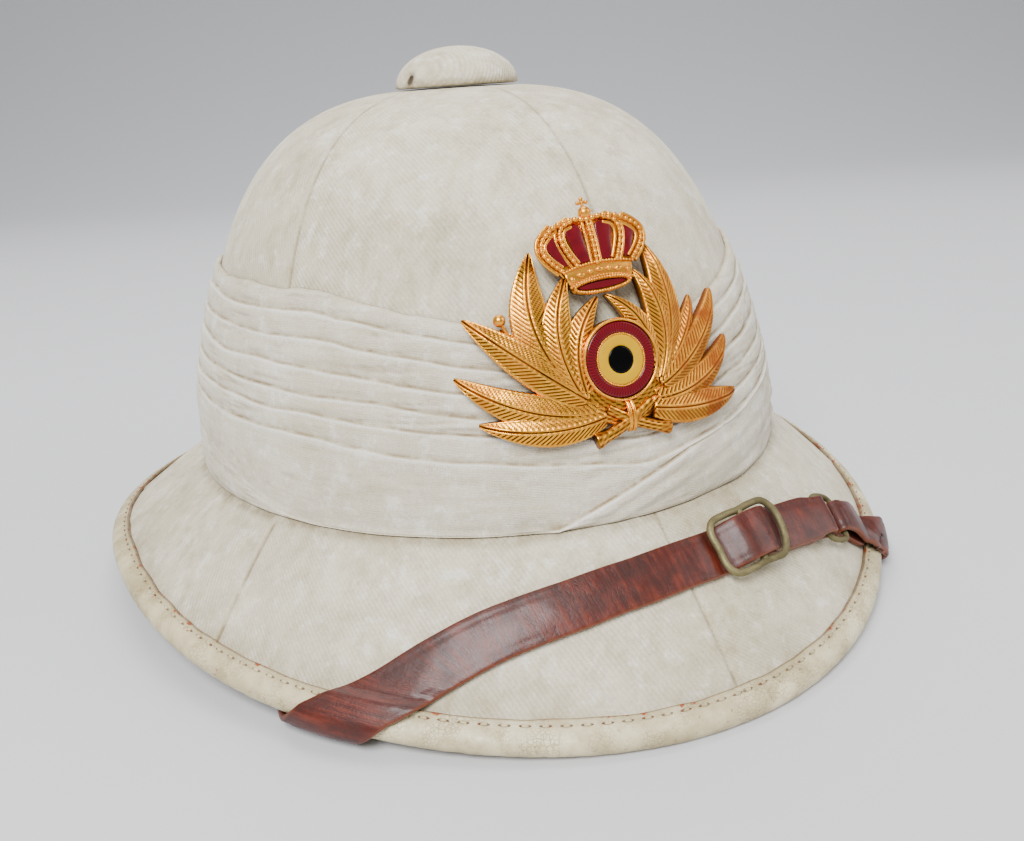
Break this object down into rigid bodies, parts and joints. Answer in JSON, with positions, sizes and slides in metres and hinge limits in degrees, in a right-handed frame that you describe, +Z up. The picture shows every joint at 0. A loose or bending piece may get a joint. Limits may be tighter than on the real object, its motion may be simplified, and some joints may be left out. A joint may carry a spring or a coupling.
{
  "type": "pith helmet",
  "caption": "Cloth-covered sun helmet with a domed crown, sloping bound brim, pleated puggaree, ventilator button, gilt wreath badge and leather chin strap over the brim.",
  "frame": {"origin": "on the surface that the helmet rests on, under the middle of its box", "axes": "+Z up, the front of the helmet faces -Y, +X is the wearer's left"},
  "size_m": [0.2796, 0.3381, 0.1772],
  "materials": {
    "cloth": "off-white cotton drill over pith, stained",
    "puggaree_cloth": "off-white cotton, pleated, dirt in the folds",
    "binding_leather": "whitened leather, crackled and worn brown at its inner edge",
    "strap_leather": "red-brown, glossy, cracked across",
    "gilt_brass": "stamped, gilt, worn dark in the hollows",
    "hardware_brass": "tarnished wire",
    "enamel_red": "glossy translucent enamel",
    "enamel_yellow": "glossy enamel",
    "enamel_black": "glossy enamel"
  },
  "bodies": {
    "root": {"crown": "cloth", "brim": "cloth", "brim_binding": "binding_leather", "puggaree": "puggaree_cloth", "ventilator_button": "cloth", "badge": "gilt_brass", "roundel_red": "enamel_red", "roundel_yellow": "enamel_yellow", "roundel_black": "enamel_black", "enamel_cell_1": "enamel_red", "enamel_cell_2": "enamel_red", "enamel_cell_3": "enamel_red", "enamel_cell_4": "enamel_red", "enamel_foot": "enamel_red", "chin_strap": "strap_leather", "strap_short": "strap_leather", "buckle": "hardware_brass", "strap_ring": "hardware_brass", "stud_right": "hardware_brass", "stud_left": "hardware_brass"}
  },
  "joints": []
}
